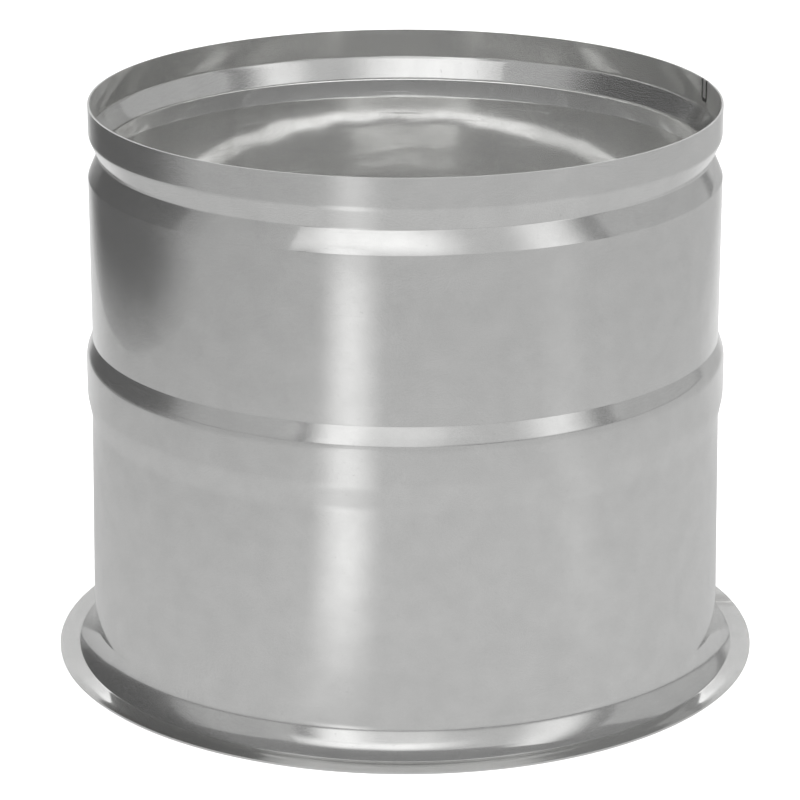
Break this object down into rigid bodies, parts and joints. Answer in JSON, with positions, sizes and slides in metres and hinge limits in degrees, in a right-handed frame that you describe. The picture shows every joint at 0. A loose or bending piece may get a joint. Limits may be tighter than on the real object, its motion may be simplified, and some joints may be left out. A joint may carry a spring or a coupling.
{
  "type": "stove pipe collar",
  "caption": "Thin stainless stove pipe collar: an open tube with a groove rolled in under its rim, a raised bead round its middle and a flat flange at its foot.",
  "frame": {"origin": "centre of the flange's underside", "axes": "+Z along the pipe's axis, from the flange towards the rim"},
  "size_m": [0.1732, 0.1732, 0.1382],
  "materials": {
    "stainless": "satin mill finish"
  },
  "bodies": {
    "root": {"collar": "stainless"}
  },
  "joints": []
}
